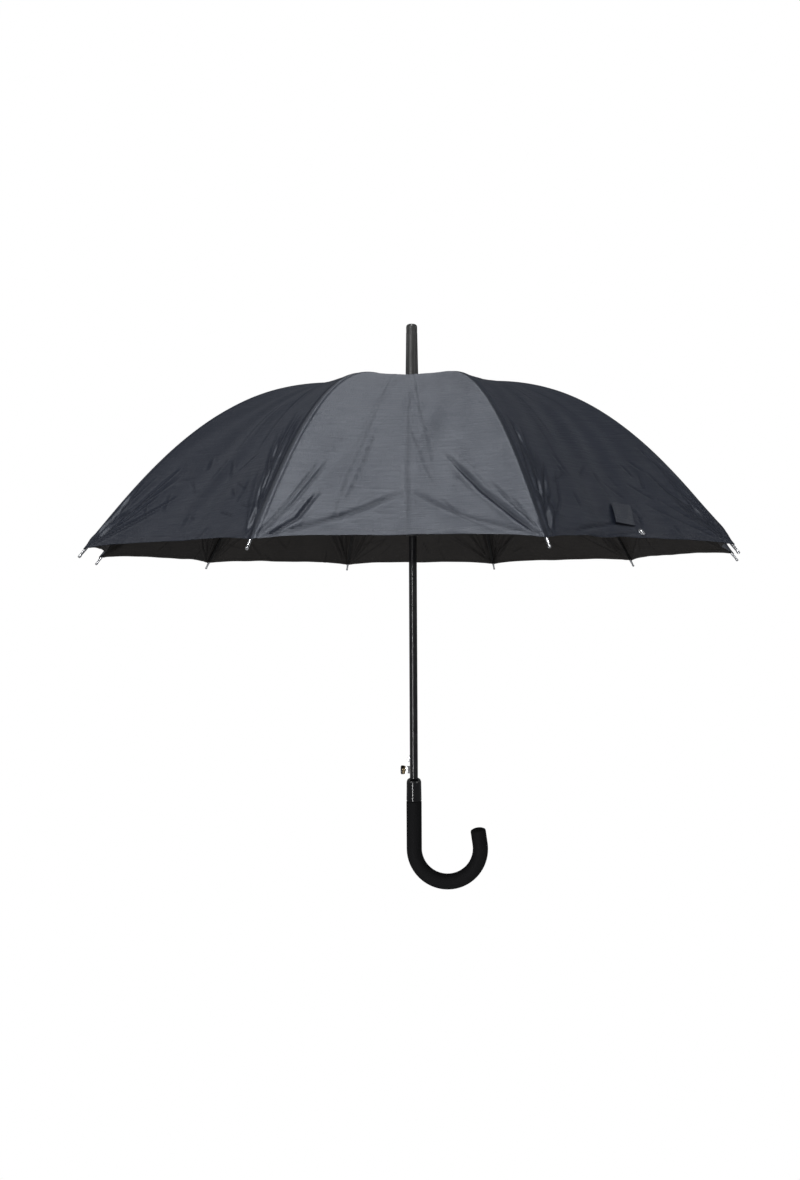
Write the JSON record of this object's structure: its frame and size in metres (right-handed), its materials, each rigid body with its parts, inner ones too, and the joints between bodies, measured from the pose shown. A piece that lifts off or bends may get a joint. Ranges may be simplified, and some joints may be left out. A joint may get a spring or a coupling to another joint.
{
  "type": "stick umbrella",
  "caption": "Open stick umbrella with a ribbed dome canopy, a steel shaft with a sliding spring runner, a push button and a crook handle.",
  "frame": {"origin": "on the shaft's axis, in the middle of the straight part of the grip", "axes": "+Z along the shaft towards the ferrule, +X towards the free end of the crook, the button on the -X side"},
  "size_m": [1.0044, 0.9554, 0.8801],
  "materials": {
    "canopy_cloth": "satin weave",
    "frame_black": "satin black",
    "fitting_black": "satin",
    "gloss_black": "gloss",
    "grip_black": "matt",
    "bright_steel": "polished",
    "spring_steel": "drawn wire"
  },
  "bodies": {
    "shaft_and_handle": {"shaft_tube": "frame_black", "ferrule": "fitting_black", "top_notch": "fitting_black", "handle_collar": "gloss_black", "handle": "grip_black"},
    "runner": {"runner": "fitting_black"},
    "mid_nest": {"mid_nest": "fitting_black", "main_spring": "spring_steel"},
    "push_button": {"push_button": "gloss_black"},
    "closing_catch": {"closing_catch": "bright_steel"},
    "rib_inner_01": {"rib_inner_01": "frame_black", "canopy_panel_01": "canopy_cloth"},
    "rib_outer_01": {"rib_outer_01": "frame_black"},
    "stretcher_01": {"stretcher_01": "frame_black"},
    "spreader_link_01": {"spreader_link_01": "frame_black"},
    "rib_inner_02": {"rib_inner_02": "frame_black", "canopy_panel_02": "canopy_cloth"},
    "rib_outer_02": {"rib_outer_02": "frame_black"},
    "stretcher_02": {"stretcher_02": "frame_black"},
    "spreader_link_02": {"spreader_link_02": "frame_black"},
    "rib_inner_03": {"rib_inner_03": "frame_black", "canopy_panel_03": "canopy_cloth"},
    "rib_outer_03": {"rib_outer_03": "frame_black"},
    "stretcher_03": {"stretcher_03": "frame_black"},
    "spreader_link_03": {"spreader_link_03": "frame_black"},
    "rib_inner_04": {"rib_inner_04": "frame_black", "canopy_panel_04": "canopy_cloth"},
    "rib_outer_04": {"rib_outer_04": "frame_black"},
    "stretcher_04": {"stretcher_04": "frame_black"},
    "spreader_link_04": {"spreader_link_04": "frame_black"},
    "rib_inner_05": {"rib_inner_05": "frame_black", "canopy_panel_05": "canopy_cloth"},
    "rib_outer_05": {"rib_outer_05": "frame_black"},
    "stretcher_05": {"stretcher_05": "frame_black"},
    "spreader_link_05": {"spreader_link_05": "frame_black"},
    "rib_inner_06": {"rib_inner_06": "frame_black", "canopy_panel_06": "canopy_cloth"},
    "rib_outer_06": {"rib_outer_06": "frame_black"},
    "stretcher_06": {"stretcher_06": "frame_black"},
    "spreader_link_06": {"spreader_link_06": "frame_black"},
    "rib_inner_07": {"rib_inner_07": "frame_black", "canopy_panel_07": "canopy_cloth"},
    "rib_outer_07": {"rib_outer_07": "frame_black"},
    "stretcher_07": {"stretcher_07": "frame_black"},
    "spreader_link_07": {"spreader_link_07": "frame_black"},
    "rib_inner_08": {"rib_inner_08": "frame_black", "canopy_panel_08": "canopy_cloth"},
    "rib_outer_08": {"rib_outer_08": "frame_black"},
    "stretcher_08": {"stretcher_08": "frame_black"},
    "spreader_link_08": {"spreader_link_08": "frame_black"},
    "rib_inner_09": {"rib_inner_09": "frame_black", "canopy_panel_09": "canopy_cloth"},
    "rib_outer_09": {"rib_outer_09": "frame_black"},
    "stretcher_09": {"stretcher_09": "frame_black"},
    "spreader_link_09": {"spreader_link_09": "frame_black"},
    "rib_inner_10": {"rib_inner_10": "frame_black", "canopy_panel_10": "canopy_cloth"},
    "rib_outer_10": {"rib_outer_10": "frame_black"},
    "stretcher_10": {"stretcher_10": "frame_black"},
    "spreader_link_10": {"spreader_link_10": "frame_black"}
  },
  "joints": [
    {"name": "runner_slide", "type": "slide", "parent": "shaft_and_handle", "child": "runner", "axis": [0, 0, -1], "range_m": [0, 0.35521], "stiffness_N_per_m": 80, "springref_m": -0.15, "deforming": ["main_spring"]},
    {"name": "mid_nest_slide", "type": "slide", "parent": "shaft_and_handle", "child": "mid_nest", "axis": [0, 0, -1], "range_m": [0, 0.39601]},
    {"name": "rib_hinge_01", "type": "hinge", "parent": "shaft_and_handle", "child": "rib_inner_01", "pos_m": [0.0115, 0, 0.67492], "axis": [0, 1, 0], "range_deg": [0, 81], "deforming": ["canopy_panel_01"]},
    {"name": "rib_flex_01", "type": "hinge", "parent": "rib_inner_01", "child": "rib_outer_01", "pos_m": [0.24505, 0, 0.64228], "axis": [0, 1, 0], "range_deg": [-34.94, 0]},
    {"name": "stretcher_hinge_01", "type": "hinge", "parent": "rib_inner_01", "child": "stretcher_01", "pos_m": [0.24336, 0, 0.6381], "axis": [0, 1, 0], "range_deg": [-161.98, 0]},
    {"name": "link_hinge_01", "type": "hinge", "parent": "stretcher_01", "child": "spreader_link_01", "pos_m": [0.08628, 0, 0.60861], "axis": [0, 1, 0], "range_deg": [0, 38.98]},
    {"name": "rib_hinge_02", "type": "hinge", "parent": "shaft_and_handle", "child": "rib_inner_02", "pos_m": [0.0093, 0.00676, 0.67492], "axis": [-0.5878, 0.809, 0], "range_deg": [0, 81], "deforming": ["canopy_panel_02"]},
    {"name": "rib_flex_02", "type": "hinge", "parent": "rib_inner_02", "child": "rib_outer_02", "pos_m": [0.19825, 0.14404, 0.64228], "axis": [-0.5878, 0.809, 0], "range_deg": [-34.94, 0]},
    {"name": "stretcher_hinge_02", "type": "hinge", "parent": "rib_inner_02", "child": "stretcher_02", "pos_m": [0.19688, 0.14304, 0.6381], "axis": [-0.5878, 0.809, 0], "range_deg": [-161.98, 0]},
    {"name": "link_hinge_02", "type": "hinge", "parent": "stretcher_02", "child": "spreader_link_02", "pos_m": [0.0698, 0.05071, 0.60861], "axis": [-0.5878, 0.809, 0], "range_deg": [0, 38.98]},
    {"name": "rib_hinge_03", "type": "hinge", "parent": "shaft_and_handle", "child": "rib_inner_03", "pos_m": [0.00355, 0.01094, 0.67492], "axis": [-0.9511, 0.309, 0], "range_deg": [0, 81], "deforming": ["canopy_panel_03"]},
    {"name": "rib_flex_03", "type": "hinge", "parent": "rib_inner_03", "child": "rib_outer_03", "pos_m": [0.07573, 0.23306, 0.64228], "axis": [-0.9511, 0.309, 0], "range_deg": [-34.94, 0]},
    {"name": "stretcher_hinge_03", "type": "hinge", "parent": "rib_inner_03", "child": "stretcher_03", "pos_m": [0.0752, 0.23145, 0.6381], "axis": [-0.9511, 0.309, 0], "range_deg": [-161.98, 0]},
    {"name": "link_hinge_03", "type": "hinge", "parent": "stretcher_03", "child": "spreader_link_03", "pos_m": [0.02666, 0.08206, 0.60861], "axis": [-0.9511, 0.309, 0], "range_deg": [0, 38.98]},
    {"name": "rib_hinge_04", "type": "hinge", "parent": "shaft_and_handle", "child": "rib_inner_04", "pos_m": [-0.00355, 0.01094, 0.67492], "axis": [-0.9511, -0.309, 0], "range_deg": [0, 81], "deforming": ["canopy_panel_04"]},
    {"name": "rib_flex_04", "type": "hinge", "parent": "rib_inner_04", "child": "rib_outer_04", "pos_m": [-0.07573, 0.23306, 0.64228], "axis": [-0.9511, -0.309, 0], "range_deg": [-34.94, 0]},
    {"name": "stretcher_hinge_04", "type": "hinge", "parent": "rib_inner_04", "child": "stretcher_04", "pos_m": [-0.0752, 0.23145, 0.6381], "axis": [-0.9511, -0.309, 0], "range_deg": [-161.98, 0]},
    {"name": "link_hinge_04", "type": "hinge", "parent": "stretcher_04", "child": "spreader_link_04", "pos_m": [-0.02666, 0.08206, 0.60861], "axis": [-0.9511, -0.309, 0], "range_deg": [0, 38.98]},
    {"name": "rib_hinge_05", "type": "hinge", "parent": "shaft_and_handle", "child": "rib_inner_05", "pos_m": [-0.0093, 0.00676, 0.67492], "axis": [-0.5878, -0.809, 0], "range_deg": [0, 81], "deforming": ["canopy_panel_05"]},
    {"name": "rib_flex_05", "type": "hinge", "parent": "rib_inner_05", "child": "rib_outer_05", "pos_m": [-0.19825, 0.14404, 0.64228], "axis": [-0.5878, -0.809, 0], "range_deg": [-34.94, 0]},
    {"name": "stretcher_hinge_05", "type": "hinge", "parent": "rib_inner_05", "child": "stretcher_05", "pos_m": [-0.19688, 0.14304, 0.6381], "axis": [-0.5878, -0.809, 0], "range_deg": [-161.98, 0]},
    {"name": "link_hinge_05", "type": "hinge", "parent": "stretcher_05", "child": "spreader_link_05", "pos_m": [-0.0698, 0.05071, 0.60861], "axis": [-0.5878, -0.809, 0], "range_deg": [0, 38.98]},
    {"name": "rib_hinge_06", "type": "hinge", "parent": "shaft_and_handle", "child": "rib_inner_06", "pos_m": [-0.0115, 0, 0.67492], "axis": [0, -1, 0], "range_deg": [0, 81], "deforming": ["canopy_panel_06"]},
    {"name": "rib_flex_06", "type": "hinge", "parent": "rib_inner_06", "child": "rib_outer_06", "pos_m": [-0.24505, 0, 0.64228], "axis": [0, -1, 0], "range_deg": [-34.94, 0]},
    {"name": "stretcher_hinge_06", "type": "hinge", "parent": "rib_inner_06", "child": "stretcher_06", "pos_m": [-0.24336, 0, 0.6381], "axis": [0, -1, 0], "range_deg": [-161.98, 0]},
    {"name": "link_hinge_06", "type": "hinge", "parent": "stretcher_06", "child": "spreader_link_06", "pos_m": [-0.08628, 0, 0.60861], "axis": [0, -1, 0], "range_deg": [0, 38.98]},
    {"name": "rib_hinge_07", "type": "hinge", "parent": "shaft_and_handle", "child": "rib_inner_07", "pos_m": [-0.0093, -0.00676, 0.67492], "axis": [0.5878, -0.809, 0], "range_deg": [0, 81], "deforming": ["canopy_panel_07"]},
    {"name": "rib_flex_07", "type": "hinge", "parent": "rib_inner_07", "child": "rib_outer_07", "pos_m": [-0.19825, -0.14404, 0.64228], "axis": [0.5878, -0.809, 0], "range_deg": [-34.94, 0]},
    {"name": "stretcher_hinge_07", "type": "hinge", "parent": "rib_inner_07", "child": "stretcher_07", "pos_m": [-0.19688, -0.14304, 0.6381], "axis": [0.5878, -0.809, 0], "range_deg": [-161.98, 0]},
    {"name": "link_hinge_07", "type": "hinge", "parent": "stretcher_07", "child": "spreader_link_07", "pos_m": [-0.0698, -0.05071, 0.60861], "axis": [0.5878, -0.809, 0], "range_deg": [0, 38.98]},
    {"name": "rib_hinge_08", "type": "hinge", "parent": "shaft_and_handle", "child": "rib_inner_08", "pos_m": [-0.00355, -0.01094, 0.67492], "axis": [0.9511, -0.309, 0], "range_deg": [0, 81], "deforming": ["canopy_panel_08"]},
    {"name": "rib_flex_08", "type": "hinge", "parent": "rib_inner_08", "child": "rib_outer_08", "pos_m": [-0.07573, -0.23306, 0.64228], "axis": [0.9511, -0.309, 0], "range_deg": [-34.94, 0]},
    {"name": "stretcher_hinge_08", "type": "hinge", "parent": "rib_inner_08", "child": "stretcher_08", "pos_m": [-0.0752, -0.23145, 0.6381], "axis": [0.9511, -0.309, 0], "range_deg": [-161.98, 0]},
    {"name": "link_hinge_08", "type": "hinge", "parent": "stretcher_08", "child": "spreader_link_08", "pos_m": [-0.02666, -0.08206, 0.60861], "axis": [0.9511, -0.309, 0], "range_deg": [0, 38.98]},
    {"name": "rib_hinge_09", "type": "hinge", "parent": "shaft_and_handle", "child": "rib_inner_09", "pos_m": [0.00355, -0.01094, 0.67492], "axis": [0.9511, 0.309, 0], "range_deg": [0, 81], "deforming": ["canopy_panel_09"]},
    {"name": "rib_flex_09", "type": "hinge", "parent": "rib_inner_09", "child": "rib_outer_09", "pos_m": [0.07573, -0.23306, 0.64228], "axis": [0.9511, 0.309, 0], "range_deg": [-34.94, 0]},
    {"name": "stretcher_hinge_09", "type": "hinge", "parent": "rib_inner_09", "child": "stretcher_09", "pos_m": [0.0752, -0.23145, 0.6381], "axis": [0.9511, 0.309, 0], "range_deg": [-161.98, 0]},
    {"name": "link_hinge_09", "type": "hinge", "parent": "stretcher_09", "child": "spreader_link_09", "pos_m": [0.02666, -0.08206, 0.60861], "axis": [0.9511, 0.309, 0], "range_deg": [0, 38.98]},
    {"name": "rib_hinge_10", "type": "hinge", "parent": "shaft_and_handle", "child": "rib_inner_10", "pos_m": [0.0093, -0.00676, 0.67492], "axis": [0.5878, 0.809, 0], "range_deg": [0, 81], "deforming": ["canopy_panel_10"]},
    {"name": "rib_flex_10", "type": "hinge", "parent": "rib_inner_10", "child": "rib_outer_10", "pos_m": [0.19825, -0.14404, 0.64228], "axis": [0.5878, 0.809, 0], "range_deg": [-34.94, 0]},
    {"name": "stretcher_hinge_10", "type": "hinge", "parent": "rib_inner_10", "child": "stretcher_10", "pos_m": [0.19688, -0.14304, 0.6381], "axis": [0.5878, 0.809, 0], "range_deg": [-161.98, 0]},
    {"name": "link_hinge_10", "type": "hinge", "parent": "stretcher_10", "child": "spreader_link_10", "pos_m": [0.0698, -0.05071, 0.60861], "axis": [0.5878, 0.809, 0], "range_deg": [0, 38.98]},
    {"name": "button_press", "type": "slide", "parent": "shaft_and_handle", "child": "push_button", "axis": [1, 0, 0], "range_m": [0, 0.004], "stiffness_N_per_m": 1500, "springref_m": -0.001},
    {"name": "catch_retract", "type": "slide", "parent": "shaft_and_handle", "child": "closing_catch", "axis": [1, 0, 0], "range_m": [0, 0.0041]}
  ],
  "couplings": [
    {"joint": "mid_nest_slide", "follows": "runner_slide", "ratio": 1.1146},
    {"joint": "rib_hinge_01", "follows": "runner_slide", "rad_per_m": 3.9789},
    {"joint": "rib_flex_01", "follows": "runner_slide", "rad_per_m": -1.716},
    {"joint": "stretcher_hinge_01", "follows": "runner_slide", "rad_per_m": -7.9578},
    {"joint": "link_hinge_01", "follows": "runner_slide", "rad_per_m": 1.9145},
    {"joint": "rib_hinge_02", "follows": "runner_slide", "rad_per_m": 3.9789},
    {"joint": "rib_flex_02", "follows": "runner_slide", "rad_per_m": -1.716},
    {"joint": "stretcher_hinge_02", "follows": "runner_slide", "rad_per_m": -7.9578},
    {"joint": "link_hinge_02", "follows": "runner_slide", "rad_per_m": 1.9145},
    {"joint": "rib_hinge_03", "follows": "runner_slide", "rad_per_m": 3.9789},
    {"joint": "rib_flex_03", "follows": "runner_slide", "rad_per_m": -1.716},
    {"joint": "stretcher_hinge_03", "follows": "runner_slide", "rad_per_m": -7.9578},
    {"joint": "link_hinge_03", "follows": "runner_slide", "rad_per_m": 1.9145},
    {"joint": "rib_hinge_04", "follows": "runner_slide", "rad_per_m": 3.9789},
    {"joint": "rib_flex_04", "follows": "runner_slide", "rad_per_m": -1.716},
    {"joint": "stretcher_hinge_04", "follows": "runner_slide", "rad_per_m": -7.9578},
    {"joint": "link_hinge_04", "follows": "runner_slide", "rad_per_m": 1.9145},
    {"joint": "rib_hinge_05", "follows": "runner_slide", "rad_per_m": 3.9789},
    {"joint": "rib_flex_05", "follows": "runner_slide", "rad_per_m": -1.716},
    {"joint": "stretcher_hinge_05", "follows": "runner_slide", "rad_per_m": -7.9578},
    {"joint": "link_hinge_05", "follows": "runner_slide", "rad_per_m": 1.9145},
    {"joint": "rib_hinge_06", "follows": "runner_slide", "rad_per_m": 3.9789},
    {"joint": "rib_flex_06", "follows": "runner_slide", "rad_per_m": -1.716},
    {"joint": "stretcher_hinge_06", "follows": "runner_slide", "rad_per_m": -7.9578},
    {"joint": "link_hinge_06", "follows": "runner_slide", "rad_per_m": 1.9145},
    {"joint": "rib_hinge_07", "follows": "runner_slide", "rad_per_m": 3.9789},
    {"joint": "rib_flex_07", "follows": "runner_slide", "rad_per_m": -1.716},
    {"joint": "stretcher_hinge_07", "follows": "runner_slide", "rad_per_m": -7.9578},
    {"joint": "link_hinge_07", "follows": "runner_slide", "rad_per_m": 1.9145},
    {"joint": "rib_hinge_08", "follows": "runner_slide", "rad_per_m": 3.9789},
    {"joint": "rib_flex_08", "follows": "runner_slide", "rad_per_m": -1.716},
    {"joint": "stretcher_hinge_08", "follows": "runner_slide", "rad_per_m": -7.9578},
    {"joint": "link_hinge_08", "follows": "runner_slide", "rad_per_m": 1.9145},
    {"joint": "rib_hinge_09", "follows": "runner_slide", "rad_per_m": 3.9789},
    {"joint": "rib_flex_09", "follows": "runner_slide", "rad_per_m": -1.716},
    {"joint": "stretcher_hinge_09", "follows": "runner_slide", "rad_per_m": -7.9578},
    {"joint": "link_hinge_09", "follows": "runner_slide", "rad_per_m": 1.9145},
    {"joint": "rib_hinge_10", "follows": "runner_slide", "rad_per_m": 3.9789},
    {"joint": "rib_flex_10", "follows": "runner_slide", "rad_per_m": -1.716},
    {"joint": "stretcher_hinge_10", "follows": "runner_slide", "rad_per_m": -7.9578},
    {"joint": "link_hinge_10", "follows": "runner_slide", "rad_per_m": 1.9145},
    {"joint": "catch_retract", "follows": "button_press", "ratio": 1}
  ]
}
